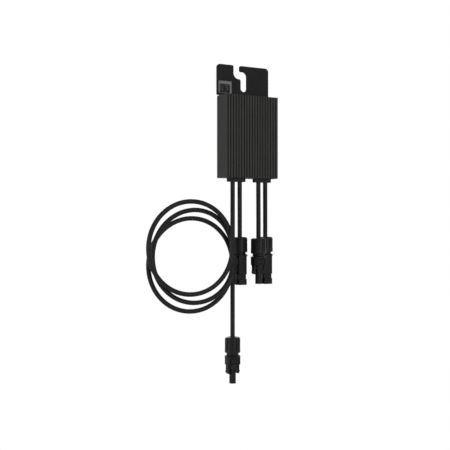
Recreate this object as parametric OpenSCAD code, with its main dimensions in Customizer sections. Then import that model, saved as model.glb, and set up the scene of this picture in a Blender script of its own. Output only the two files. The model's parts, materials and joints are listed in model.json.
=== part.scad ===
// Power optimizer: a finned module on a hanger plate, with two cable glands and four leads with connectors.
// The origin is the middle of the bolt seat, on the back face of the hanger plate.
// +X is right seen from the front, -Y is the front, +Z is up. Sizes are in millimetres.

/* [Housing] */
// Width of the housing and of the plate's head
housing_w = 71.4; // [66:0.1:80]
// Height of the housing
housing_h = 98.3; // [90:0.1:110]
// Depth of the housing from its back rim to the front of the fins
housing_d = 23; // [21.5:0.25:26]
// Thickness of the side, top and bottom walls
wall_t = 4; // [3.5:0.1:4.2]
// Thickness of the front wall behind the fins
front_t = 2.6; // [2:0.1:3]
// Radius of the upright front edges
edge_r = 0.8; // [0.3:0.1:1.2]
// Number of grooves between the fins
groove_n = 19; // [15:1:21]
// Width of one groove
groove_w = 1.85; // [1.4:0.05:2]
// Depth of one groove
groove_d = 1.5; // [1:0.1:2]
// Plain land left of the first groove
land_l = 1.5; // [1.2:0.1:3]
// Plain land right of the last groove
land_r = 2.8; // [1.2:0.1:3]
// Bevel along the top and bottom front edges
front_bevel = 0.6; // [0.3:0.1:1]
// Corner radius of the cavity
cavity_r = 3; // [2:0.25:4]

/* [Hanger plate] */
// Thickness of the plate
plate_t = 2; // [1.8:0.1:2.4]
// Height of the head above the top of the housing
head_h = 38.85; // [38:0.05:42]
// Gap between the housing and the lower edge of the head
head_gap = 1.5; // [1:0.1:3]
// Radius of the upper corners of the head
head_r = 4.3; // [2:0.1:6]
// Radius of the lower corners of the head
head_low_r = 1.5; // [1:0.25:3]
// How far the relief notches beside the neck reach in
neck_inset = 4.3; // [3:0.1:6]
// How far the cover stays inside the edge of the housing
cover_inset = 1.5; // [1.2:0.1:1.8]
// Corner radius of the cover
cover_r = 3; // [2:0.25:4]

/* [Hanging slot] */
// Radius of the bolt seat, for an M8 bolt
seat_r = 4.2; // [3.2:0.1:4.3]
// Height of the seat above the top of the housing
seat_up = 11.7; // [11:0.1:13]
// Sideways distance from the middle of the housing to the seat
seat_shift = 0.85; // [0:0.05:1.5]
// Sideways step from the seat to the slot's mouth
mouth_step = 9.8; // [9:0.1:10.5]
// Height of the cross passage's floor above the seat
passage_floor = 10.8; // [9:0.1:11]
// Clear height of the cross passage
passage_h = 9.1; // [9:0.1:10.4]
// Radius of the bend below the mouth
bend_low_r = 7.2; // [5:0.1:8]
// Radius of the bend above the seat
bend_high_r = 5.8; // [3:0.1:6.5]
// Rounding of the hook's tip and of the other outside corners of the slot
lip_r = 2; // [0.8:0.1:2.4]

/* [Cover fixing] */
// Radius of the cover screws
cover_screw_r = 1.5; // [1.2:0.05:1.7]
// Length of the cover screws
cover_screw_l = 10; // [8:0.5:12]
// Radius of the countersunk heads
cover_head_r = 2.8; // [2.4:0.1:3]
// Rim of the countersunk heads
cover_head_rim = 0.2; // [0.1:0.05:0.4]
// Length of the cross recess in the heads
drive_l = 3.2; // [2.6:0.1:3.6]
// Width of the cross recess
drive_w = 0.6; // [0.4:0.05:0.8]
// Depth of the cross recess
drive_depth = 1; // [0.6:0.1:1.4]
// Radius of the bosses for the cover screws
boss_r = 3.4; // [3:0.1:3.5]
// How far the bosses sink into the side walls
boss_sink = 0.2; // [0.1:0.05:0.5]
// Room between the lowest bosses and the glands
boss_gap = 2.1; // [1.5:0.1:3]
// Width of the gasket
gasket_w = 1.4; // [1:0.1:1.6]
// Depth of the gasket's groove
gasket_t = 1.2; // [0.8:0.1:1.6]
// Wall between the cavity and the gasket
gasket_wall = 0.5; // [0.4:0.05:0.7]

/* [Electronics] */
// Room between the board and the bosses
board_gap = 0.1; // [0.05:0.05:0.5]
// Room between the board and the top and bottom walls
board_end_gap = 4.5; // [4:0.1:6]
// Thickness of the circuit board
board_t = 1.6; // [1.2:0.1:2]
// Distance from the plate to the back of the board
board_back = 5; // [4.5:0.1:5.5]
// Radius of the stand-offs under the board
standoff_r = 2.6; // [2.2:0.1:2.8]
// Radius of the board screws
board_screw_r = 1.25; // [1:0.05:1.5]
// Length of the board screws in the stand-offs
board_screw_l = 5; // [4:0.25:6]
// Radius of the board screws' heads
board_head_r = 2.2; // [1.9:0.1:2.5]
// Height of the board screws' heads
board_head_h = 1.4; // [1:0.1:1.8]
// Thickness of the sealing compound behind the board
compound_t = 3; // [2:0.1:4]
// Distance from the board's edge to the sealing compound
compound_inset = 1; // [0.5:0.1:2]
// Height of the switching transistors
transistor_t = 4.5; // [4:0.1:5]
// Thickness of the thermal pad
pad_t = 1; // [0.5:0.1:2]
// Room between the inductor and the front wall
inductor_gap = 2.3; // [1.5:0.1:4]
// Thickness of the inductor's flanges
inductor_flange = 1.6; // [1.2:0.1:2]
// Room between the capacitors and the front wall
capacitor_gap = 3.3; // [2:0.1:5]
// Height of the control chip
chip_t = 1.2; // [1:0.1:2]
// Width of one wire terminal
terminal_w = 3.2; // [3:0.05:3.3]
// Height of one wire terminal
terminal_h = 6; // [5:0.25:7]
// Wall of a terminal in front of its conductor
terminal_wall = 1.3; // [1:0.1:1.6]
// Distance from the board's lower edge to the terminals
terminal_up = 2; // [1.5:0.1:3]
// Distance from the board's side edge to the terminals
terminal_in = 0.05; // [0:0.05:0.5]

/* [Cable glands] */
// Width of one gland
gland_w = 22.2; // [21:0.1:23.5]
// Depth of one gland, front to back
gland_d = 8; // [7.8:0.1:9]
// Height of the gland below the housing
gland_h = 4.6; // [3:0.1:7]
// Rim of the gland outside its opening
gland_rim = 0.6; // [0.4:0.05:0.6]
// How much less wide the gland's neck is than its rim
gland_neck_in = 1; // [0.8:0.1:1.2]
// Thickness of the lip inside the housing
gland_lip = 2; // [1.2:0.1:2.4]
// Corner radius of the gland
gland_r = 1.2; // [0.8:0.1:1.8]
// Corner radius of the gland's neck and its opening
gland_neck_r = 2; // [1.2:0.1:2.6]
// Room between the gland and the front wall
gland_gap = 1.7; // [1:0.1:2.5]
// Sideways distance from the middle of the housing to the middle between the glands
lead_shift = 0.85; // [0:0.05:1.5]

/* [Leads] */
// Diameter of the cables
cable_d = 5.4; // [5:0.1:5.6]
// Distance between the two cables of one gland
cable_pitch = 9.6; // [9.2:0.1:9.8]
// Radius of the bare conductors inside the housing
conductor_r = 1.1; // [0.8:0.05:1.2]
// Free room around a cable in a bore
cable_clear = 0.1; // [0.05:0.05:0.2]

/* [Connectors] */
// Radius over the grip ribs of the cap nuts
nut_r = 9.1; // [8.8:0.05:9.3]
// Height of the cap nuts
nut_h = 18.4; // [17.5:0.1:19.5]
// Number of grip ribs on a cap nut
nut_ribs = 16; // [8:1:18]
// Width of one grip rib
nut_rib_w = 2.4; // [1.6:0.1:2.6]
// Height of the grip ribs
nut_rib_h = 0.5; // [0.3:0.05:0.8]
// Height of the plain band at the foot of a cap nut
nut_band = 4.8; // [3:0.1:6]
// How far the plain band stands out over the ribs
nut_band_out = 0.15; // [0:0.05:0.3]
// Radius of the spigot inside the cap nut
spigot_r = 6.3; // [6:0.1:6.5]
// Radius of the neck below the cap nut
neck_r = 7.05; // [6.7:0.05:7.2]
// Radius of the flange below the neck
flange_r = 9.35; // [8.6:0.05:9.4]
// Thickness of the flange
flange_t = 2.6; // [2:0.1:3]
// Radius of the probe
probe_r = 3.9; // [3.7:0.05:4]
// Radius of the seat that the probe's ring sits on
ring_seat_r = 3.4; // [3.2:0.05:3.5]
// Length of a connector with a probe
probe_conn_l = 54.5; // [53:0.1:58]
// Length of a connector with a shell
shell_conn_l = 57.2; // [56:0.1:61]
// Radius of the receptacle in the shell
receptacle_r = 4.2; // [4.1:0.05:4.4]
// Radius of the contact pin
pin_r = 2; // [1.5:0.05:2.2]
// How far the pin's end stays inside the shell
pin_in = 7; // [5:0.5:9]
// Radius of the crimp barrels of the contacts
barrel_r = 2.6; // [2.3:0.05:2.7]
// Free room between parts that slide together
fit_clear = 0.1; // [0.05:0.05:0.15]

/* [Hidden] */
$fn = 48;
eps = 0.01;

// Which node to draw

// Colours
black_metal = [0.10, 0.10, 0.11];
black_plastic = [0.07, 0.07, 0.08];
dark_rubber = [0.05, 0.05, 0.05];
steel = [0.62, 0.63, 0.65];
copper = [0.75, 0.45, 0.25];
brass = [0.78, 0.66, 0.35];
green_board = [0.08, 0.28, 0.16];
grey_part = [0.45, 0.45, 0.47];
ferrite = [0.20, 0.20, 0.22];
pad_blue = [0.45, 0.55, 0.62];

// The housing in the part's frame
x_mid = -seat_shift;
z_top = -seat_up;
z_bottom = z_top - housing_h;
z_mid = (z_top + z_bottom) / 2;
y_rim = -plate_t;
y_front = y_rim - housing_d;
y_cavity = y_front + groove_d + front_t;
cavity_w = housing_w - 2 * wall_t;
cavity_h = housing_h - 2 * wall_t;
groove_pitch = (housing_w - land_l - land_r - groove_w) / (groove_n - 1);

// Cover screws, as X and Z from the middle of the housing
boss_x = cavity_w / 2 + boss_sink - boss_r;
boss_z = cavity_h / 2 - gland_lip - boss_gap - boss_r;
cover_screw_at = [for (x = [-boss_x, boss_x], z = [-boss_z, 0, boss_z]) [x, z]];

// Board, and the depths of what stands on it
board_w = 2 * (boss_x - boss_r - board_gap);
board_h = cavity_h - 2 * board_end_gap;
y_board_back = y_rim - board_back;
y_board = y_board_back - board_t;
y_pad = y_board - transistor_t;
room = y_board - y_cavity;
inductor_h = room - inductor_gap;
capacitor_h = room - capacitor_gap;

// Places on the board, as shares of its width and height from its middle
standoff_at = [[-0.416 * board_w, 0.438 * board_h], [0.416 * board_w, 0.438 * board_h], [0, -0.37 * board_h]];
pedestal_x = 0.426 * board_w;
pedestal_z = [0.242 * board_h, 0.395 * board_h];
pad_inset = [0.02 * board_w, 0.006 * board_h];
transistor_x = [for (i = [-1.5:1.5]) i * 0.203 * board_w];
transistor_half_w = 0.084 * board_w;
transistor_z = [0.254 * board_h, 0.383 * board_h];
inductor_r = 0.22 * board_w;
inductor_core_r = 0.4 * inductor_r;
inductor_wind_r = 0.9 * inductor_r;
inductor_at = [-0.226 * board_w, 0.05 * board_h];
input_cap_x = [for (i = [0:2]) (0.1 + 0.16 * i) * board_w];
input_cap_half_w = 0.07 * board_w;
input_cap_z = [-0.1 * board_h, -0.013 * board_h];
output_cap_x = [for (i = [0:2]) (-0.386 + 0.18 * i) * board_w];
output_cap_half_w = 0.08 * board_w;
output_cap_z = [-0.27 * board_h, -0.172 * board_h];
chip_x = [0.16 * board_w, 0.34 * board_w];
chip_z = [0.061 * board_h, 0.172 * board_h];
terminal_z = terminal_up - board_h / 2;

// Glands and cables
gland_x = board_w / 2 - terminal_in - terminal_w / 2 - cable_pitch / 2 - lead_shift;
lead_mid = x_mid + lead_shift;
lead_x = [for (side = [-1, 1], i = [-1, 1]) lead_mid + side * gland_x + i * cable_pitch / 2];
cable_y = -y_cavity - gland_d / 2 - gland_gap;
terminal_d = cable_y + y_board + conductor_r + terminal_wall;
cable_r = cable_d / 2;
bore_r = cable_r + cable_clear;
z_cable = z_bottom + wall_t + gland_lip;
gland_neck_w = gland_w - 2 * gland_rim - 2 * gland_neck_in;
gland_neck_d = gland_d - 2 * gland_rim;
gland_lip_w = gland_neck_w + 2 * gland_rim;

// Bend that the cables share: share of the sideways reach, and drop below the housing
bend = [[0, 7], [0.03, 13], [0.12, 19], [0.26, 25], [0.42, 31], [0.58, 37], [0.74, 43], [0.88, 49],
        [0.97, 55], [1, 61]];

// Reach of each cable from its gland to its connector, as X and Y, and drop to the top of the nut
reach = [[-2.3, -4.1], [2.8, 4.9], [-6.1, -10.8], [3.2, 5.2]];
drop = [188.7, 70.5, 71.8, 70.5];
has_probe = [true, false, true, false];
conn_at = [for (k = [0:3]) [lead_x[k] + reach[k][0], -cable_y + reach[k][1], z_bottom - drop[k]]];

// The long cable: its reach to the coil, the ring that its three loose turns fit into, and the drops below it
coil_reach = [-11.8, -21.8];
coil_enter_drop = 80;
coil_off = [-62.5, -1.3, -92];
coil_in_r = 39;
coil_out_r = 67;
coil_t = 23.5;
low_drops = [112, 125, 140, 155, 170, 185];

// Depths below the top of a cap nut
collet_z = 4.5;
seal_z = 8;
cable_in = 16;
contact_step = 33;
ring_z = 35;
ring_h = 2;
probe_flange_z = 21;
probe_body_end = 32;
probe_collar_z = 31;
window_z = [24.2, 31.2];
window_pad_z = [25.2, 30.2];
finger_root_z = 31;
finger_end_z = 43;
shell_flange_z = 20.4;
slot_z = 23;
channel_z = 24.5;
catch_z = [25.6, 32];
band_z = [44.8, 50.5];

// Rounding of a cap nut's top, bevel of its foot, root of its ribs and lead-in for the cable
nut_round = 2.2;
nut_round_mid = [1.1, 0.35];
nut_foot = [0.7, 1];
rib_root_r = 5;
lead_in_r = [5.3, 4.6];
lead_in_depth = 2.2;

// Flare at a latch finger's root, heights of its barb above its end, and slant of its tip
finger_flare = 3;
barb_up = [4, 3.4, 1.6];
finger_tip = 1;

// Widths and radii inside the connectors
seal_r = 4.6;
head_bore_r = 1;
flange_bevel = [1.7, 1.2];
collet_slit = 1;
probe_body_w = 16.7;
probe_body_d = 12.4;
probe_body_r = 3;
collar_r = 5.1;
window_w = 13;
window_t = 1.7;
window_pad_w = 9.6;
window_pad_t = 1.2;
finger_w = 6;
finger_x = [5.4, 7.6];
barb = 0.6;
shell_panel = [10.6, 16.4];
shell_rib = [14.8, 8.2];
shell_r = 0.8;
channel_w = finger_w + 3 * fit_clear;
channel_x = 5.3;
slot_x = 3.6;
slot_y = [4.1, 6.4];
catch_lo = [-7, -6.2];
catch_hi = [-3.5, -4];
band_t = 2.2;
band_x = 6.2;
contact_in = 0.6;
socket_l = 20;

// A box between two corners
module block(lo, hi) {
    translate(lo) cube(hi - lo);
}

// What is drawn about the middle of the housing, with Y from the back of the plate
module at_middle() {
    translate([x_mid, 0, z_mid]) children();
}

// A flat shape drawn in X and Z, made solid from the given Y towards the front
module from_back(y, depth) {
    translate([0, y, 0]) rotate([90, 0, 0]) linear_extrude(depth) children();
}

// A cylinder along Y at an X and Z, from the given Y towards the front
module peg(at, y, depth, r) {
    translate([at[0], y, at[1]]) rotate([90, 0, 0]) cylinder(h = depth, r = r);
}

// A rectangle with round corners, about its middle
module round_rect(w, h, r) {
    square([w - 2 * r, h], center = true);
    square([w, h - 2 * r], center = true);
    for (x = [-1, 1], y = [-1, 1]) translate([x * (w / 2 - r), y * (h / 2 - r)]) circle(r);
}

// The sliver to take off an outside corner at the given point; sx and sy point from the corner into the sheet
module corner_sliver(x, y, r, sx, sy) {
    difference() {
        translate([x + (sx > 0 ? 0 : -r), y + (sy > 0 ? 0 : -r)]) square(r);
        translate([x + sx * r, y + sy * r]) circle(r);
    }
}

// Cross section of the housing with its fins
module fin_profile() {
    difference() {
        translate([-housing_w / 2, y_front]) square([housing_w, housing_d]);
        corner_sliver(-housing_w / 2, y_front, edge_r, 1, 1);
        corner_sliver(housing_w / 2, y_front, edge_r, -1, 1);
        for (i = [0:groove_n - 1])
            translate([land_l + i * groove_pitch - housing_w / 2, y_front - 1])
                square([groove_w, groove_d + 1]);
    }
}

// Long wedge that bevels the top or the bottom front edge
module bevel_wedge(z, side) {
    translate([-housing_w / 2 - 1, y_front, z]) rotate([90, 0, 90])
        linear_extrude(housing_w + 2)
            polygon([[-1, side], [front_bevel, side], [front_bevel, 0], [0, -side * front_bevel],
                     [-1, -side * front_bevel]]);
}

// The room inside the housing, less the bosses, the stand-offs and the pedestal under the thermal pad
module cavity() {
    difference() {
        from_back(y_rim + 1, y_rim + 1 - y_cavity) round_rect(cavity_w, cavity_h, cavity_r);
        for (p = cover_screw_at) peg(p, y_rim, y_rim - y_cavity + 1, boss_r);
        for (p = standoff_at) peg(p, y_board, y_board - y_cavity + 1, standoff_r);
        block([-pedestal_x, y_cavity - 1, pedestal_z[0]], [pedestal_x, y_pad - pad_t, pedestal_z[1]]);
    }
}

module gasket_ring() {
    w = cavity_w + 2 * gasket_wall;
    h = cavity_h + 2 * gasket_wall;
    r = cavity_r + gasket_wall;
    difference() {
        round_rect(w + 2 * gasket_w, h + 2 * gasket_w, r + gasket_w);
        round_rect(w, h, r);
    }
}

module gland_opening(x) {
    translate([x, -cable_y, z_bottom - 1]) linear_extrude(wall_t + 2)
        round_rect(gland_neck_w + 2 * fit_clear, gland_neck_d + 2 * fit_clear, gland_neck_r);
}

module heat_sink_housing() {
    color(black_metal) difference() {
        at_middle() difference() {
            translate([0, 0, -housing_h / 2]) linear_extrude(housing_h) fin_profile();
            cavity();
            bevel_wedge(housing_h / 2, 1);
            bevel_wedge(-housing_h / 2, -1);
            from_back(y_rim + 1, gasket_t + 1) gasket_ring();
            for (p = cover_screw_at) peg(p, y_rim + 1, cover_screw_l + 1, cover_screw_r + fit_clear / 2);
            for (p = standoff_at) peg(p, y_board + 1, board_screw_l + 2, board_screw_r + fit_clear / 2);
        }
        gland_opening(lead_mid - gland_x);
        gland_opening(lead_mid + gland_x);
    }
}

// Outline of the slot that the hanging bolt passes through, from its mouth down to its seat
module slot_shape() {
    mouth_l = -mouth_step - seat_r;
    mouth_r = -mouth_step + seat_r;
    roof = passage_floor + passage_h;
    top = head_h - seat_up;
    circle(seat_r);
    translate([-seat_r, 0]) square([2 * seat_r, roof - bend_high_r]);
    translate([mouth_l, passage_floor + bend_low_r])
        square([2 * seat_r, top + 1 - passage_floor - bend_low_r]);
    intersection() {
        translate([mouth_l, passage_floor]) square([mouth_step + 2 * seat_r, passage_h]);
        union() {
            translate([mouth_l + bend_low_r, passage_floor + bend_low_r]) circle(bend_low_r);
            translate([mouth_l + bend_low_r, passage_floor])
                square([seat_r - bend_high_r - mouth_l - bend_low_r, passage_h]);
            translate([mouth_l, passage_floor + bend_low_r]) square([seat_r, passage_h]);
            translate([seat_r - bend_high_r, roof - bend_high_r]) circle(bend_high_r);
            translate([seat_r - bend_high_r, passage_floor - 1])
                square([bend_high_r, passage_h + 1 - bend_high_r]);
        }
    }
    corner_sliver(mouth_r, roof, lip_r, 1, 1);
    corner_sliver(-seat_r, passage_floor, lip_r, -1, -1);
    corner_sliver(mouth_l, top, lip_r, -1, -1);
    corner_sliver(mouth_r, top, lip_r, 1, -1);
}

// Outline of the head, with its lower corners above the relief notches
module head_shape() {
    low = z_top + head_gap;
    high = z_top + head_h;
    difference() {
        translate([-housing_w / 2, low]) square([housing_w, high - low]);
        corner_sliver(-housing_w / 2, high, head_r, 1, -1);
        corner_sliver(housing_w / 2, high, head_r, -1, -1);
        corner_sliver(-housing_w / 2, low, head_low_r, 1, 1);
        corner_sliver(housing_w / 2, low, head_low_r, -1, 1);
    }
}

module plate_shape() {
    neck_w = housing_w - 2 * neck_inset;
    difference() {
        translate([x_mid, 0]) head_shape();
        slot_shape();
    }
    translate([x_mid - neck_w / 2, z_top - cover_inset - 1]) square([neck_w, head_gap + cover_inset + 1]);
    translate([x_mid, z_mid])
        round_rect(housing_w - 2 * cover_inset, housing_h - 2 * cover_inset, cover_r);
}

// Profile of a countersunk screw, head at height 0, shank downwards
module screw_profile(grow) {
    polygon([[0, grow], [cover_head_r + grow, grow], [cover_head_r + grow, -cover_head_rim],
             [cover_screw_r + grow, -cover_head_rim - cover_head_r + cover_screw_r],
             [cover_screw_r + grow, -cover_screw_l - grow], [0, -cover_screw_l - grow]]);
}

module cover_screw_set(grow) {
    at_middle() for (p = cover_screw_at)
        translate([p[0], 0, p[1]]) rotate([-90, 0, 0]) rotate_extrude() screw_profile(grow);
}

module hanger_plate() {
    color(black_metal) difference() {
        from_back(0, plate_t) plate_shape();
        cover_screw_set(fit_clear / 2);
    }
}

module back_gasket() {
    color(dark_rubber) at_middle() from_back(y_rim, gasket_t) gasket_ring();
}

module cover_screws() {
    l = drive_l / 2;
    w = drive_w / 2;
    color(steel) difference() {
        cover_screw_set(0);
        at_middle() for (p = cover_screw_at) translate([p[0], 0, p[1]]) {
            block([-l, -drive_depth, -w], [l, 1, w]);
            block([-w, -drive_depth, -l], [w, 1, l]);
        }
    }
}

// One gland: a block under the housing, a neck in the wall and a lip inside, with two cable bores
module gland(x) {
    color(dark_rubber) translate([x, -cable_y, z_bottom]) difference() {
        union() {
            translate([0, 0, -gland_h]) linear_extrude(gland_h) round_rect(gland_w, gland_d, gland_r);
            translate([0, 0, -eps]) linear_extrude(wall_t + 2 * eps)
                round_rect(gland_neck_w, gland_neck_d, gland_neck_r);
            translate([0, 0, wall_t]) linear_extrude(gland_lip) round_rect(gland_lip_w, gland_d, gland_r);
        }
        for (s = [-1, 1]) translate([s * cable_pitch / 2, 0, -gland_h - 1])
            cylinder(h = gland_h + wall_t + gland_lip + 2, r = bore_r);
    }
}

module gland_left() {
    gland(lead_mid - gland_x);
}

module gland_right() {
    gland(lead_mid + gland_x);
}

module circuit_board() {
    color(green_board) at_middle() difference() {
        block([-board_w / 2, y_board, -board_h / 2], [board_w / 2, y_board_back, board_h / 2]);
        for (p = standoff_at) peg(p, y_board_back + 1, board_t + 2, board_screw_r + fit_clear);
    }
}

module board_screws() {
    color(steel) at_middle() for (p = standoff_at) {
        peg(p, y_board_back + board_head_h, board_head_h, board_head_r);
        peg(p, y_board_back + eps, board_t + board_screw_l, board_screw_r);
    }
}

// Compound poured over the back of the board, clear of the screw heads
module sealing_compound() {
    w = board_w / 2 - compound_inset;
    h = board_h / 2 - compound_inset;
    color(grey_part) at_middle() difference() {
        block([-w, y_board_back, -h], [w, y_board_back + compound_t, h]);
        for (p = standoff_at)
            peg(p, y_board_back + compound_t + 1, compound_t + 2, board_head_r + 3 * fit_clear);
    }
}

module switching_transistors() {
    color(ferrite) at_middle() for (x = transistor_x)
        block([x - transistor_half_w, y_pad, transistor_z[0]],
              [x + transistor_half_w, y_board, transistor_z[1]]);
}

module thermal_pad() {
    x = pedestal_x - pad_inset[0];
    color(pad_blue) at_middle()
        block([-x, y_pad - pad_t, pedestal_z[0] + pad_inset[1]], [x, y_pad, pedestal_z[1] - pad_inset[1]]);
}

// Inductor: a drum core with its winding between the two flanges
module inductor_place() {
    at_middle() translate([inductor_at[0], y_board, inductor_at[1]]) rotate([90, 0, 0]) children();
}

module inductor_core() {
    high = inductor_h - inductor_flange;
    color(ferrite) inductor_place() rotate_extrude()
        polygon([[0, 0], [inductor_r, 0], [inductor_r, inductor_flange], [inductor_core_r, inductor_flange],
                 [inductor_core_r, high], [inductor_r, high], [inductor_r, inductor_h], [0, inductor_h]]);
}

module inductor_winding() {
    color(copper) inductor_place() rotate_extrude()
        translate([inductor_core_r, inductor_flange])
            square([inductor_wind_r - inductor_core_r, inductor_h - 2 * inductor_flange]);
}

// A row of capacitors at the given places along X
module capacitor_row(places, half_w, z) {
    color(grey_part) at_middle() for (x = places)
        block([x - half_w, y_board - capacitor_h, z[0]], [x + half_w, y_board, z[1]]);
}

module input_capacitors() {
    capacitor_row(input_cap_x, input_cap_half_w, input_cap_z);
}

module output_capacitors() {
    capacitor_row(output_cap_x, output_cap_half_w, output_cap_z);
}

module control_chip() {
    color(ferrite) at_middle()
        block([chip_x[0], y_board - chip_t, chip_z[0]], [chip_x[1], y_board, chip_z[1]]);
}

// Terminals on the board, each with a bore for its conductor
module wire_terminals() {
    low = z_mid + terminal_z;
    color(brass) for (x = lead_x) difference() {
        block([x - terminal_w / 2, y_board - terminal_d, low],
              [x + terminal_w / 2, y_board, low + terminal_h]);
        translate([x, -cable_y, low - 1]) cylinder(h = terminal_h + 2, r = conductor_r + fit_clear / 2);
    }
}

module conductor_tails() {
    color(copper) for (x = lead_x) translate([x, -cable_y, z_cable])
        cylinder(h = z_mid + terminal_z + terminal_h - z_cable, r = conductor_r);
}

// Swept tubes: each ring stands square to the route at its point
function unit(v) = v / norm(v);
function heading(p, i) = unit(p[min(i + 1, len(p) - 1)] - p[max(i - 1, 0)]);
function side_axis(h) = unit(cross([0, 1, 0], h));
function ring_point(c, h, a, r) = c + r * (cos(a) * side_axis(h) + sin(a) * cross(h, side_axis(h)));
function tube_points(p, r, n) =
    [for (i = [0:len(p) - 1], k = [0:n - 1]) ring_point(p[i], heading(p, i), 360 * k / n, r)];
function tube_sides(m, n) = [for (i = [0:m - 2], k = [0:n - 1], s = [0, 1])
    let (a = i * n + k, b = i * n + (k + 1) % n)
    s == 0 ? [a, b, a + n] : [b, b + n, a + n]];

module tube(p, r, n) {
    m = len(p);
    first = [for (k = [n - 1:-1:0]) k];
    last = [for (k = [0:n - 1]) (m - 1) * n + k];
    polyhedron(tube_points(p, r, n), concat([first], tube_sides(m, n), [last]), convexity = 6);
}

// A point of a lead's route: its place beside the gland, and its drop below the housing
function route_point(k, aside, down) = [lead_x[k] + aside[0], -cable_y + aside[1], z_bottom - down];

// A route from the gland through the bend, with the given reach
function bent_route(k, aside) = concat([[lead_x[k], -cable_y, z_cable]],
    [for (b = bend) route_point(k, b[0] * aside, b[1])]);

module cable(route) {
    color(black_plastic) tube(route, cable_r, 10);
}

module short_cable(k) {
    cable(concat(bent_route(k, reach[k]), [route_point(k, reach[k], drop[k] + cable_in)]));
}

module lead1_coil() {
    color(black_plastic) translate([lead_x[0] + coil_off[0], -cable_y + coil_off[1], z_bottom + coil_off[2]])
        rotate([90, 0, 0]) difference() {
            cylinder(h = coil_t, r = coil_out_r);
            translate([0, 0, -1]) cylinder(h = coil_t + 2, r = coil_in_r);
        }
}

module lead1_cable_upper() {
    color(black_plastic) difference() {
        cable(concat(bent_route(0, coil_reach), [route_point(0, coil_reach, coil_enter_drop)]));
        lead1_coil();
    }
}

module lead1_cable_lower() {
    color(black_plastic) difference() {
        cable([for (d = concat(low_drops, [drop[0] + cable_in])) route_point(0, reach[0], d)]);
        lead1_coil();
    }
}

module lead2_cable() {
    short_cable(1);
}

module lead3_cable() {
    short_cable(2);
}

module lead4_cable() {
    short_cable(3);
}

// A ring about the connector's axis between two depths below the top of the nut
module ring_band(z0, z1, r_out, r_in) {
    translate([0, 0, -z1]) difference() {
        cylinder(h = z1 - z0, r = r_out);
        translate([0, 0, -1]) cylinder(h = z1 - z0 + 2, r = r_in);
    }
}

// A cylinder about the connector's axis between two depths
module rod(z0, z1, r) {
    translate([0, 0, -z1]) cylinder(h = z1 - z0, r = r);
}

// A flat shape about the connector's axis, made solid between two depths
module slab(z0, z1) {
    translate([0, 0, -z1]) linear_extrude(z1 - z0) children();
}

// Outside of a cap nut: a rounded top and a bevelled foot
module nut_envelope(r) {
    rotate_extrude()
        polygon([[0, 0], [r - nut_round, 0], [r - nut_round_mid[0], -nut_round_mid[1]],
                 [r - nut_round_mid[1], -nut_round_mid[0]], [r, -nut_round],
                 [r, -nut_h + nut_foot[1]], [r - nut_foot[0], -nut_h], [0, -nut_h]]);
}

// Cap nut with grip ribs, a plain band at its foot and a lead-in for the cable
module cap_nut() {
    difference() {
        union() {
            nut_envelope(nut_r - nut_rib_h);
            intersection() {
                nut_envelope(nut_r);
                for (i = [0:nut_ribs - 1]) rotate(360 * (i + 0.5) / nut_ribs)
                    block([rib_root_r, -nut_rib_w / 2, -nut_h + nut_band - 1], [nut_r + 1, nut_rib_w / 2, 1]);
            }
            intersection() {
                nut_envelope(nut_r + nut_band_out);
                rod(nut_h - nut_band, nut_h + 1, nut_r + 1);
            }
        }
        rod(-1, collet_z + 1, bore_r);
        rotate_extrude()
            polygon([[0, 1], [lead_in_r[0], 1], [lead_in_r[1], 0],
                     [bore_r, -lead_in_depth], [0, -lead_in_depth]]);
        rod(collet_z, nut_h + 1, spigot_r + fit_clear);
    }
}

// Slotted collet that the nut presses onto the cable
module collet() {
    difference() {
        ring_band(collet_z, seal_z, spigot_r, bore_r);
        for (i = [0:2]) rotate(60 * i)
            block([-nut_r, -collet_slit / 2, -seal_z + 1], [nut_r, collet_slit / 2, 0]);
    }
}

module cable_seal() {
    ring_band(seal_z, cable_in, seal_r, bore_r);
}

// Threaded end that both kinds of body share: a spigot in the nut, a neck and a flange
module body_head(flange_z) {
    ring_band(seal_z, nut_h + eps, spigot_r, head_bore_r);
    ring_band(nut_h, flange_z + eps, neck_r, head_bore_r);
    translate([0, 0, -flange_z]) rotate_extrude()
        polygon([[head_bore_r, 0], [flange_r - flange_bevel[0], 0], [flange_r, -flange_bevel[1]],
                 [flange_r, -flange_t], [head_bore_r, -flange_t]]);
}

// Bores that both kinds of body share: a pocket for the seal and a bore for the contact
module body_bores(contact_end) {
    rod(0, cable_in, seal_r);
    rod(0, contact_end, barrel_r + fit_clear);
}

// Latch finger at +X, with a barb near its end
module finger() {
    out = finger_x[1];
    rotate([90, 0, 0]) translate([0, 0, -finger_w / 2]) linear_extrude(finger_w)
        polygon([[finger_x[0], -finger_root_z], [out + barb, -finger_root_z],
                 [out, -finger_root_z - finger_flare], [out, -finger_end_z + barb_up[0]],
                 [out + barb, -finger_end_z + barb_up[1]], [out + barb / 2, -finger_end_z + barb_up[2]],
                 [out - finger_tip, -finger_end_z], [finger_x[0], -finger_end_z]]);
}

// Recess with a raised pad, on the front of the body
module face_window() {
    face = -probe_body_d / 2;
    difference() {
        block([-window_w / 2, face - 1, -window_z[1]], [window_w / 2, face + window_t, -window_z[0]]);
        block([-window_pad_w / 2, face + window_t - window_pad_t, -window_pad_z[1]],
              [window_pad_w / 2, face + window_t + 1, -window_pad_z[0]]);
    }
}

module probe_body() {
    difference() {
        union() {
            body_head(probe_flange_z);
            slab(probe_flange_z + flange_t - eps, probe_body_end)
                round_rect(probe_body_w, probe_body_d, probe_body_r);
            for (s = [0, 180]) rotate(s) finger();
            rod(probe_collar_z, ring_z, collar_r);
            rod(ring_z - 1, ring_z + ring_h + eps, ring_seat_r);
            rod(ring_z + ring_h, probe_conn_l, probe_r);
        }
        body_bores(probe_conn_l + 1);
        for (s = [0, 180]) rotate(s) face_window();
    }
}

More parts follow.
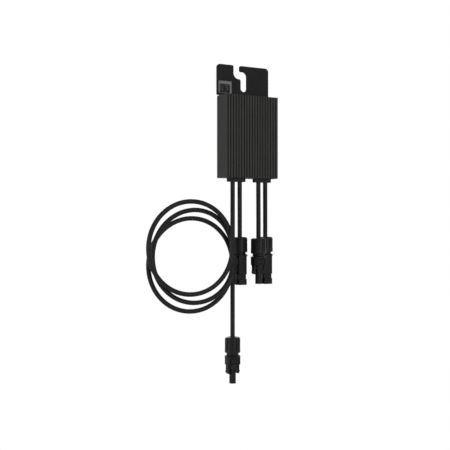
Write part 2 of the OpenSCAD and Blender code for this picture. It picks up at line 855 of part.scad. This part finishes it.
// Outline of the shell: front and back panels, and ribs beside the latch channels
module shell_outline() {
    round_rect(shell_panel[0], shell_panel[1], shell_r);
    square(shell_rib, center = true);
}

// Slots behind the edges of the panels, at all four corners
module corner_slots() {
    slab(slot_z, shell_conn_l + 1) for (x = [-1, 1], y = [-1, 1]) scale_sign(x, y)
        translate([slot_x, slot_y[0]]) square([nut_r, slot_y[1] - slot_y[0]]);
}

// Mirrors what is drawn at +X and +Y to the given sides
module scale_sign(x, y) {
    mirror([x < 0 ? 1 : 0, 0]) mirror([0, y < 0 ? 1 : 0]) children();
}

module shell_body() {
    difference() {
        union() {
            difference() {
                union() {
                    body_head(shell_flange_z);
                    slab(shell_flange_z + flange_t - eps, shell_conn_l) shell_outline();
                }
                corner_slots();
                for (s = [0, 180]) rotate(s)
                    block([channel_x, -channel_w / 2, -shell_conn_l - 1], [nut_r, channel_w / 2, -channel_z]);
                slab(band_z[0], band_z[1]) difference() {
                    square(3 * nut_r, center = true);
                    square([2 * band_x, shell_panel[1] - 2 * band_t], center = true);
                }
            }
            slab(band_z[0] - eps, band_z[1] + eps) difference() {
                square([shell_panel[0], shell_panel[1] - 2 * band_t], center = true);
                square([shell_panel[0] + 1, shell_rib[1] - 1], center = true);
            }
            for (s = [0, 180]) rotate(s)
                block([catch_lo[0], catch_lo[1], -catch_z[1]], [catch_hi[0], catch_hi[1], -catch_z[0]]);
        }
        body_bores(contact_step + 1);
        rod(contact_step, shell_conn_l + 1, receptacle_r);
    }
}

// Socket contact: a crimp barrel with the socket's bore in its lower end
module socket_contact() {
    difference() {
        rod(cable_in, probe_conn_l - contact_in, barrel_r);
        rod(probe_conn_l - socket_l, probe_conn_l, pin_r + fit_clear);
    }
}

// Pin contact: a crimp barrel above a slimmer pin with a round end
module pin_contact() {
    rod(cable_in, contact_step, barrel_r);
    rod(contact_step, shell_conn_l - pin_in, pin_r);
    translate([0, 0, -shell_conn_l + pin_in]) sphere(pin_r);
}

module probe_ring() {
    ring_band(ring_z, ring_z + ring_h, probe_r + 1, ring_seat_r);
}

module lead_cap_nut(k) {
    color(black_plastic) translate(conn_at[k]) cap_nut();
}

module lead_collet(k) {
    color(grey_part) translate(conn_at[k]) collet();
}

module lead_cable_seal(k) {
    color(dark_rubber) translate(conn_at[k]) cable_seal();
}

module lead_body(k) {
    color(black_plastic) translate(conn_at[k]) {
        if (has_probe[k]) probe_body();
        else shell_body();
    }
}

module lead_contact(k) {
    color(brass) translate(conn_at[k]) {
        if (has_probe[k]) socket_contact();
        else pin_contact();
    }
}

module lead_probe_ring(k) {
    color(dark_rubber) translate(conn_at[k]) probe_ring();
}

heat_sink_housing();
hanger_plate();
back_gasket();
cover_screws();
gland_left();
gland_right();
circuit_board();
board_screws();
sealing_compound();
switching_transistors();
thermal_pad();
inductor_core();
inductor_winding();
input_capacitors();
output_capacitors();
control_chip();
wire_terminals();
conductor_tails();
lead1_cable_upper();
lead1_coil();
lead1_cable_lower();
lead2_cable();
lead3_cable();
lead4_cable();
lead_cap_nut(0);  // lead1_cap_nut
lead_collet(0);  // lead1_collet
lead_cable_seal(0);  // lead1_cable_seal
lead_body(0);  // lead1_body
lead_contact(0);  // lead1_contact
lead_probe_ring(0);  // lead1_probe_ring
lead_cap_nut(1);  // lead2_cap_nut
lead_collet(1);  // lead2_collet
lead_cable_seal(1);  // lead2_cable_seal
lead_body(1);  // lead2_body
lead_contact(1);  // lead2_contact
lead_cap_nut(2);  // lead3_cap_nut
lead_collet(2);  // lead3_collet
lead_cable_seal(2);  // lead3_cable_seal
lead_body(2);  // lead3_body
lead_contact(2);  // lead3_contact
lead_probe_ring(2);  // lead3_probe_ring
lead_cap_nut(3);  // lead4_cap_nut
lead_collet(3);  // lead4_collet
lead_cable_seal(3);  // lead4_cable_seal
lead_body(3);  // lead4_body
lead_contact(3);  // lead4_contact
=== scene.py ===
# Power optimizer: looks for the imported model, seen as in the photograph
import json
import math

import bpy
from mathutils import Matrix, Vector


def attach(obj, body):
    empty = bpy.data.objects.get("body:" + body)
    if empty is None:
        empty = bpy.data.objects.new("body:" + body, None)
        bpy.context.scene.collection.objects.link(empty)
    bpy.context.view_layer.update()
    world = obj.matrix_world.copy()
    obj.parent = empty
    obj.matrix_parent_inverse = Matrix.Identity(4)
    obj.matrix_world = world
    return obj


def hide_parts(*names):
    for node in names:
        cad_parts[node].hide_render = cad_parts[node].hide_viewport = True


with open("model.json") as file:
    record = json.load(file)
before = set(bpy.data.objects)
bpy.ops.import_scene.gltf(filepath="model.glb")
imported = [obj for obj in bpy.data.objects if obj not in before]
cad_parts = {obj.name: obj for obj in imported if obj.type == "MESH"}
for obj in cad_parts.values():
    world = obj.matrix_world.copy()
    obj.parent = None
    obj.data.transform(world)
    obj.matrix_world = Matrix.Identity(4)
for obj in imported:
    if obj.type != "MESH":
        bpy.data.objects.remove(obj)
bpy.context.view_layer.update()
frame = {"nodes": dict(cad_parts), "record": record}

MM = 0.001

# Camera: level, 28 degrees to the left of the front, placed in millimetres
CAMERA_AT = (-472.53, -844.1, -166.1)
CAMERA_TURN = 27.948
LENS = 63.42
SENSOR_W = 36
CLIP_START = 0.05

# Cables, in millimetres, as in part.scad
CABLE_D = 5.4
CABLE_Y = -15.2
GLAND_TOP = -104
HOUSING_FOOT = -110
CABLE_IN_NUT = 16
LEAD_X = {1: -22.5, 2: -12.9, 3: 12.9, 4: 22.5}
PARTS_PER_STRETCH = 2
BEVEL_STEPS = 6

# Bend that the cables share: share of the sideways reach, and drop below the housing
BEND = [(0, 7), (0.03, 13), (0.12, 19), (0.26, 25), (0.42, 31), (0.58, 37), (0.74, 43), (0.88, 49),
        (0.97, 55), (1, 61)]
REACH = {1: (-2.3, -4.1), 2: (2.8, 4.9), 3: (-6.1, -10.8), 4: (3.2, 5.2)}
NUT_DROP = {1: 188.7, 2: 70.5, 3: 71.8, 4: 70.5}

# The long cable's three loose turns, which step to the back and grow a little, and the drops below them
COIL_REACH = (-11.84, -21.8)
COIL_Z = -187.1
COIL_RX = 52.5
COIL_RZ = 50.4
COIL_GROW = 0.4
COIL_LEAN = 21.4
COIL_TWIST = 10.9
COIL_TURNS = 3
COIL_STEP = (3.2, 5.9, -9.9)
COIL_SWAY = 5
SWAY_OUT = 10
SWAY_BACK = 4
POINTS_PER_TURN = 60
LOW_DROPS = (125, 140, 155, 170, 185)

# Label on the head of the plate: X and Z of its corners, and of the field with a plain block pattern
PLATE_FRONT = -2
LABEL_LOW = (-34.4, -7.3)
LABEL_HIGH = (-16.9, 7.1)
LABEL_T = 0.15
LABEL_R = 0.6
FIELD_LOW = (-33, -6.9)
FIELD_HIGH = (-19.2, 3.6)
FIELD_CELL = 1.2

# Black outer finishes: shade and its spread, roughness, scale of the grain, soft edge in millimetres,
# gloss, and how far the shade leans to a warm tone
COATS = {
    "coated_casting": dict(shade=0.051, spread=0.05, rough=0.6, grain=2500, edge=0.3, gloss=0.05, warm=0.06),
    "coated_sheet": dict(shade=0.018, spread=0.10, rough=0.6, grain=2500, edge=0.2, gloss=0.047),
    "black_rubber": dict(shade=0.029, spread=0.12, rough=0.7, grain=1800, edge=0.25, gloss=0.025),
    "connector_plastic": dict(shade=0.008, spread=0.08, rough=0.45, grain=2200, edge=0.25, gloss=0.12,
                              warm=0.04),
    "cable_jacket": dict(shade=0.0155, spread=0.08, rough=0.5, grain=1500, edge=0.0, gloss=0.08),
    "collet_plastic": dict(shade=0.30, spread=0.05, rough=0.5, grain=1500, edge=0.1, gloss=0.3),
}

# Inner finishes: two close shades, the scale of their patches, roughness, and 1 for bare metal
INNER = {
    "screw_steel": dict(low=(0.45, 0.45, 0.46), high=(0.6, 0.6, 0.61), scale=900, rough=0.35, metal=1.0),
    "board_laminate": dict(low=(0.03, 0.14, 0.07), high=(0.06, 0.24, 0.12), scale=260, rough=0.4),
    "compound": dict(low=(0.26, 0.26, 0.28), high=(0.34, 0.34, 0.36), scale=140, rough=0.6),
    "component_case": dict(low=(0.04, 0.04, 0.04), high=(0.07, 0.07, 0.07), scale=700, rough=0.5),
    "pad": dict(low=(0.34, 0.44, 0.52), high=(0.44, 0.54, 0.62), scale=500, rough=0.7),
    "ferrite": dict(low=(0.11, 0.11, 0.12), high=(0.19, 0.19, 0.2), scale=900, rough=0.6),
    "copper": dict(low=(0.65, 0.34, 0.2), high=(0.8, 0.48, 0.3), scale=1200, rough=0.3, metal=1.0),
    "capacitor_case": dict(low=(0.3, 0.3, 0.32), high=(0.38, 0.38, 0.4), scale=600, rough=0.45),
    "contact_metal": dict(low=(0.66, 0.6, 0.46), high=(0.8, 0.74, 0.58), scale=900, rough=0.28, metal=1.0),
}

# Floor, in metres: below the frame, because the part hangs
FLOOR_Z = -0.75
FLOOR_R = 0.9
FLOOR_GLOW = 0.7

# Light from all around that reaches the part, and lamps in metres and watts, which aim at one point
AMBIENT = 0.04
LAMP_AIM = (0, 0, -0.15)
LAMPS = {
    "front": dict(place=(0.1, -1.5, 0), size=0.5, watts=9.8),
    "above": dict(place=(0.5, -1.05, 0.8), size=0.5, watts=4),
    "left": dict(place=(-1.49, -0.16, -0.15), size=0.4, watts=10.6),
    "back": dict(place=(0.4, 1.35, 0.45), size=0.6, watts=9),
}


def make_camera():
    data = bpy.data.cameras.new("camera")
    data.lens = LENS
    data.sensor_width = SENSOR_W
    data.clip_start = CLIP_START
    cam = bpy.data.objects.new("camera", data)
    cam.location = Vector(CAMERA_AT) * MM
    cam.rotation_euler = (math.radians(90), 0, math.radians(-CAMERA_TURN))
    bpy.context.scene.collection.objects.link(cam)
    bpy.context.scene.camera = cam


# Cables

def route_point(lead, aside, drop):
    return (LEAD_X[lead] + aside[0], CABLE_Y + aside[1], HOUSING_FOOT - drop)


def bend_points(lead, reach):
    return [route_point(lead, (share * reach[0], share * reach[1]), drop) for share, drop in BEND]


def sway_at(t):
    """How far the second turn lies to the right of its neighbours: out quickly, back slowly."""
    if not 1 < t < 2:
        return 0
    return COIL_SWAY * (1 - math.cos(math.pi * t) ** (SWAY_OUT if t < 1.5 else SWAY_BACK))


def coil_points():
    start = route_point(1, COIL_REACH, 0)
    points = []
    for i in range(COIL_TURNS * POINTS_PER_TURN + 1):
        t = i / POINTS_PER_TURN
        angle = 2 * math.pi * t
        lean = COIL_LEAN * math.sin(angle) ** 2
        across = (COIL_RX + COIL_GROW * t) * (1 - math.cos(angle))
        down = (COIL_RZ + COIL_GROW * t) * math.sin(angle) - COIL_TWIST * math.sin(2 * angle)
        points.append((start[0] - across + lean + sway_at(t) + COIL_STEP[0] * t,
                       start[1] + COIL_STEP[1] * t,
                       COIL_Z - down + COIL_STEP[2] * t))
    return points


def cable_points(lead):
    points = [(LEAD_X[lead], CABLE_Y, GLAND_TOP)]
    if lead == 1:
        points += bend_points(lead, COIL_REACH) + coil_points()
        points += [route_point(lead, REACH[lead], drop) for drop in LOW_DROPS]
    else:
        points += bend_points(lead, REACH[lead])
    return points + [route_point(lead, REACH[lead], NUT_DROP[lead] + CABLE_IN_NUT)]


def smooth_line(points, parts):
    """Points on a smooth curve through the given ones, with each stretch cut into parts."""
    line = []
    last = len(points) - 1
    for i in range(last):
        a, b, c, d = (Vector(points[min(max(k, 0), last)]) for k in (i - 1, i, i + 1, i + 2))
        for k in range(parts):
            t = k / parts
            line.append(0.5 * (2 * b + (c - a) * t + (2 * a - 5 * b + 4 * c - d) * t ** 2
                               + (3 * b - a - 3 * c + d) * t ** 3))
    return line + [Vector(points[last])]


def make_cable(lead, nodes):
    line = [p * MM for p in smooth_line(cable_points(lead), PARTS_PER_STRETCH)]
    curve = bpy.data.curves.new(f"lead{lead}_jacket", "CURVE")
    curve.dimensions = "3D"
    curve.bevel_depth = 1
    curve.bevel_resolution = BEVEL_STEPS
    curve.use_fill_caps = True
    spline = curve.splines.new("POLY")
    spline.points.add(len(line) - 1)
    # The radius is set on the points, because the box of a curve counts it
    for point, place in zip(spline.points, line):
        point.co = (*place, 1)
        point.radius = CABLE_D / 2 * MM
    spline.use_smooth = True
    cable = bpy.data.objects.new(f"lead{lead}_jacket", curve)
    bpy.context.scene.collection.objects.link(cable)
    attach(cable, "root")
    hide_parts(*nodes)
    return cable


def make_cables():
    cables = []
    for lead in LEAD_X:
        nodes = [f"lead{lead}_cable"]
        if lead == 1:
            nodes = ["lead1_cable_upper", "lead1_coil", "lead1_cable_lower"]
        cables.append(make_cable(lead, nodes))
    return cables


# Label

def make_label():
    bpy.ops.object.select_all(action="DESELECT")
    bpy.ops.mesh.primitive_plane_add(size=1)
    label = bpy.context.object
    label.name = "label"
    for vertex in label.data.vertices:
        x = LABEL_HIGH[0] if vertex.co.x > 0 else LABEL_LOW[0]
        z = LABEL_HIGH[1] if vertex.co.y > 0 else LABEL_LOW[1]
        vertex.co = Vector((x, PLATE_FRONT, z)) * MM
    bpy.ops.object.mode_set(mode="EDIT")
    bpy.ops.mesh.select_all(action="SELECT")
    bpy.ops.mesh.bevel(offset=LABEL_R * MM, segments=4, affect="VERTICES")
    bpy.ops.mesh.select_all(action="SELECT")
    bpy.ops.mesh.extrude_region_move(TRANSFORM_OT_translate={"value": (0, -LABEL_T * MM, 0)})
    bpy.ops.mesh.select_all(action="SELECT")
    bpy.ops.mesh.normals_make_consistent(inside=False)
    bpy.ops.object.mode_set(mode="OBJECT")
    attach(label, "root")
    return label


# Materials

class Nodes:
    """A new material's node tree, with short calls to add and link nodes."""

    def __init__(self, name):
        self.material = bpy.data.materials.new(name)
        self.material.use_nodes = True
        self.tree = self.material.node_tree
        self.shader = self.tree.nodes["Principled BSDF"]
        self.coords = self.tree.nodes.new("ShaderNodeTexCoord")

    def add(self, kind, **inputs):
        node = self.tree.nodes.new(kind)
        for key, value in inputs.items():
            node.inputs[key.replace("_", " ")].default_value = value
        return node

    def link(self, out, into):
        self.tree.links.new(out, into)

    def noise(self, scale, detail, rough=0.6):
        node = self.add("ShaderNodeTexNoise", Scale=scale, Detail=detail, Roughness=rough)
        self.link(self.coords.outputs["Object"], node.inputs["Vector"])
        return node.outputs["Fac"]

    def calc(self, operation, a, b):
        node = self.tree.nodes.new("ShaderNodeMath")
        node.operation = operation
        for source, socket in zip((a, b), node.inputs):
            if isinstance(source, (int, float)):
                socket.default_value = source
            else:
                self.link(source, socket)
        return node.outputs["Value"]

    def inside(self, coordinate, low, high):
        """1 where the coordinate is between the two, 0 elsewhere."""
        above = self.calc("GREATER_THAN", coordinate, low * MM)
        return self.calc("MULTIPLY", above, self.calc("LESS_THAN", coordinate, high * MM))

    def cells(self, size):
        """A random number for each square cell of the given size."""
        snapped = self.tree.nodes.new("ShaderNodeVectorMath")
        snapped.operation = "SNAP"
        snapped.inputs[1].default_value = (size * MM, 1, size * MM)
        self.link(self.coords.outputs["Object"], snapped.inputs[0])
        node = self.tree.nodes.new("ShaderNodeTexWhiteNoise")
        self.link(snapped.outputs["Vector"], node.inputs["Vector"])
        return node.outputs["Value"]

    def mix(self, share, a, b):
        node = self.tree.nodes.new("ShaderNodeMix")
        node.data_type = "RGBA"
        self.link(share, node.inputs["Factor"])
        self.link(a, node.inputs[6])
        self.link(b, node.inputs[7])
        return node.outputs[2]

    def ramp(self, source, low, high, at=(0.35, 0.65)):
        node = self.tree.nodes.new("ShaderNodeValToRGB")
        stops = node.color_ramp.elements
        stops[0].position, stops[1].position = at
        stops[0].color = (*low, 1)
        stops[1].color = (*high, 1)
        self.link(source, node.inputs["Fac"])
        return node.outputs["Color"]

    def remap(self, source, low, high):
        node = self.tree.nodes.new("ShaderNodeMapRange")
        node.inputs["To Min"].default_value = low
        node.inputs["To Max"].default_value = high
        self.link(source, node.inputs["Value"])
        return node.outputs["Result"]

    def bump(self, source, strength, edge=0.0):
        """Fine relief of a tenth of a millimetre, over edges that are rounded in the shading."""
        node = self.add("ShaderNodeBump", Strength=strength, Distance=0.1 * MM)
        self.link(source, node.inputs["Height"])
        if edge:
            rounded = self.add("ShaderNodeBevel", Radius=edge * MM)
            self.link(rounded.outputs["Normal"], node.inputs["Normal"])
        self.link(node.outputs["Normal"], self.shader.inputs["Normal"])


def grey(value, warm=0.0):
    return (value, value, value * (1 - warm))


def coated(name, shade, spread, rough, grain, edge, gloss, warm=0.0):
    """A dark coat or moulding: uneven shade, fine grain and softly rounded edges."""
    n = Nodes(name)
    patches = n.noise(scale=60, detail=5)
    n.link(n.ramp(patches, grey(shade * (1 - spread), warm), grey(shade * (1 + spread), warm)),
           n.shader.inputs["Base Color"])
    fine = n.noise(grain, detail=3)
    n.link(n.remap(fine, rough - 0.06, rough + 0.06), n.shader.inputs["Roughness"])
    n.bump(fine, strength=0.12, edge=edge)
    n.shader.inputs["Specular IOR Level"].default_value = gloss
    return n.material


def speckled(name, low, high, scale, rough, metal=0.0):
    """A plain part inside: two close shades in small patches."""
    n = Nodes(name)
    spots = n.noise(scale, detail=6)
    n.link(n.ramp(spots, low, high), n.shader.inputs["Base Color"])
    n.link(n.remap(spots, rough - 0.08, rough + 0.08), n.shader.inputs["Roughness"])
    n.bump(spots, strength=0.08)
    n.shader.inputs["Metallic"].default_value = metal
    return n.material


def label_material():
    """Grey film with a field of dark and less dark square cells."""
    n = Nodes("label")
    film = n.noise(scale=400, detail=4)
    paper = n.ramp(film, grey(0.18), grey(0.2))
    pattern = n.ramp(n.cells(FIELD_CELL), grey(0.003), grey(0.07), at=(0.35, 0.9))
    place = n.tree.nodes.new("ShaderNodeSeparateXYZ")
    n.link(n.coords.outputs["Object"], place.inputs["Vector"])
    across = n.inside(place.outputs["X"], FIELD_LOW[0], FIELD_HIGH[0])
    along = n.inside(place.outputs["Z"], FIELD_LOW[1], FIELD_HIGH[1])
    n.link(n.mix(n.calc("MULTIPLY", across, along), paper, pattern), n.shader.inputs["Base Color"])
    n.link(n.remap(film, 0.45, 0.6), n.shader.inputs["Roughness"])
    n.shader.inputs["Specular IOR Level"].default_value = 0.05
    return n.material


def make_materials():
    materials = {name: coated(name, **look) for name, look in COATS.items()}
    materials.update({name: speckled(name, **look) for name, look in INNER.items()})
    return materials


def dress_nodes(materials):
    for part in frame["record"]["subparts"]:
        node = frame["nodes"][part["node"]]
        node.data.materials.clear()
        node.data.materials.append(materials[part["material_slot"]])


# Light and surroundings

def seen_level(tree, unseen, seen):
    """One number for rays that show the background, directly or in a gloss, and another for all others."""
    path = tree.nodes.new("ShaderNodeLightPath")
    kinds = [path.outputs[f"Is {kind} Ray"] for kind in ("Camera", "Glossy", "Transmission")]
    shown = kinds[0]
    for kind in kinds[1:]:
        either = tree.nodes.new("ShaderNodeMath")
        either.operation = "MAXIMUM"
        tree.links.new(shown, either.inputs[0])
        tree.links.new(kind, either.inputs[1])
        shown = either.outputs[0]
    level = tree.nodes.new("ShaderNodeMapRange")
    level.inputs["To Min"].default_value = unseen
    level.inputs["To Max"].default_value = seen
    tree.links.new(shown, level.inputs["Value"])
    return level.outputs["Result"]


def make_world():
    world = bpy.data.worlds.new("studio")
    world.use_nodes = True
    tree = world.node_tree
    back = tree.nodes["Background"]
    tree.links.new(seen_level(tree, AMBIENT, 1.0), back.inputs["Strength"])
    back.inputs["Color"].default_value = (1, 1, 1, 1)
    bpy.context.scene.world = world


def make_floor():
    bpy.ops.object.select_all(action="DESELECT")
    bpy.ops.mesh.primitive_circle_add(vertices=128, radius=FLOOR_R, fill_type="NGON")
    floor = bpy.context.object
    floor.name = "floor"
    for vertex in floor.data.vertices:
        vertex.co.z = FLOOR_Z
    n = Nodes("floor")
    n.link(n.ramp(n.noise(scale=30, detail=4), grey(0.78), grey(0.82)), n.shader.inputs["Base Color"])
    n.shader.inputs["Roughness"].default_value = 0.9
    n.shader.inputs["Emission Color"].default_value = (1, 1, 1, 1)
    n.link(seen_level(n.tree, 0.0, FLOOR_GLOW), n.shader.inputs["Emission Strength"])
    floor.data.materials.append(n.material)


def make_lamp(name, place, size, watts):
    data = bpy.data.lights.new(name, "AREA")
    data.size = size
    data.energy = watts
    lamp = bpy.data.objects.new(name, data)
    lamp.location = place
    aim = Vector(LAMP_AIM) - Vector(place)
    lamp.rotation_euler = aim.to_track_quat("-Z", "Y").to_euler()
    bpy.context.scene.collection.objects.link(lamp)


make_camera()
cables = make_cables()
label = make_label()
materials = make_materials()
dress_nodes(materials)
for cable in cables:
    cable.data.materials.append(materials["cable_jacket"])
label.data.materials.append(label_material())
make_world()
make_floor()
for name, lamp in LAMPS.items():
    make_lamp(name, **lamp)
bpy.context.scene.view_settings.view_transform = "Standard"
